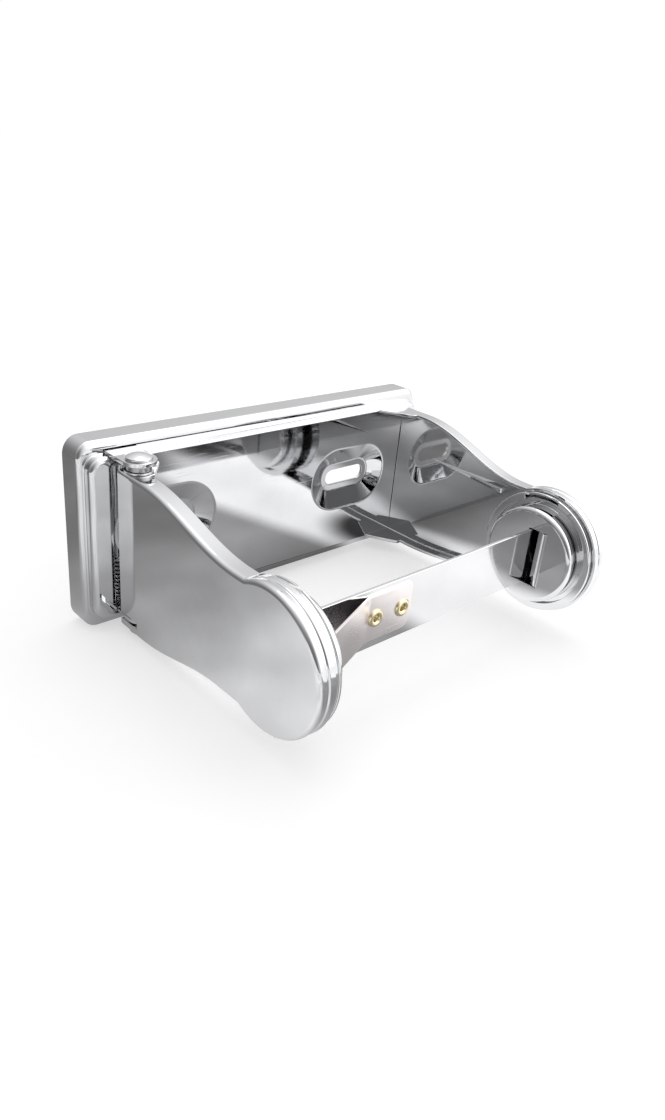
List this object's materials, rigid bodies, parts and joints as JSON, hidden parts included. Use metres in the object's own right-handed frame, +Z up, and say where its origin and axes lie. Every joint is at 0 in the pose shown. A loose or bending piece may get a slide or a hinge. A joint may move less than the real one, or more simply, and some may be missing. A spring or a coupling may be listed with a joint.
{
  "type": "toilet_roll_holder",
  "caption": "Wall-mounted toilet roll holder of pressed chromed steel, with a spring-hinged left arm and a flat bar turning between two hubs",
  "frame": {"origin": "midway between the two wall slots, on the front of the floors of their dishes", "axes": "X to the right along the roll, Y from the roll back into the wall, Z up"},
  "size_m": [0.1524, 0.1138, 0.0654],
  "materials": {
    "chrome_sheet": "bright chrome plating on pressed steel sheet",
    "plated_bar": "bright plated flat bar",
    "passivated_steel": "zinc plated and passivated, slightly pink",
    "rivet_brass": "plain brass, bright",
    "spring_steel": "oiled spring steel"
  },
  "bodies": {
    "wall_body": {"back_plate": "chrome_sheet", "hinge_bracket": "chrome_sheet", "right_arm": "chrome_sheet", "right_collar": "chrome_sheet", "right_brake_washer": "spring_steel", "hinge_pin": "chrome_sheet", "hinge_sleeve": "spring_steel", "hinge_washer_upper": "chrome_sheet", "hinge_washer_lower": "spring_steel", "pin_tail_washer": "chrome_sheet"},
    "left_arm_body": {"left_arm": "chrome_sheet", "left_collar": "chrome_sheet", "left_brake_washer": "spring_steel", "hinge_spring": "spring_steel"},
    "left_hub_body": {"left_hub": "chrome_sheet", "spindle_bar": "plated_bar", "bar_bracket": "passivated_steel", "bar_rivets": "rivet_brass"},
    "right_hub_body": {"right_hub": "chrome_sheet"}
  },
  "joints": [
    {"name": "arm_hinge", "type": "hinge", "parent": "wall_body", "child": "left_arm_body", "pos_m": [-0.057, -0.0104, 0], "axis": [0, 0, -1], "range_deg": [0, 95], "stiffness_Nm_per_rad": 0.05, "springref_deg": -34.38},
    {"name": "left_hub_spin", "type": "hinge", "parent": "left_arm_body", "child": "left_hub_body", "pos_m": [-0.0483, -0.0804, -0.0064], "axis": [1, 0, 0], "continuous": true},
    {"name": "right_hub_spin", "type": "hinge", "parent": "wall_body", "child": "right_hub_body", "pos_m": [0.0569, -0.0804, -0.0064], "axis": [1, 0, 0], "continuous": true}
  ],
  "couplings": [
    {"joint": "right_hub_spin", "follows": "left_hub_spin", "ratio": 1}
  ]
}
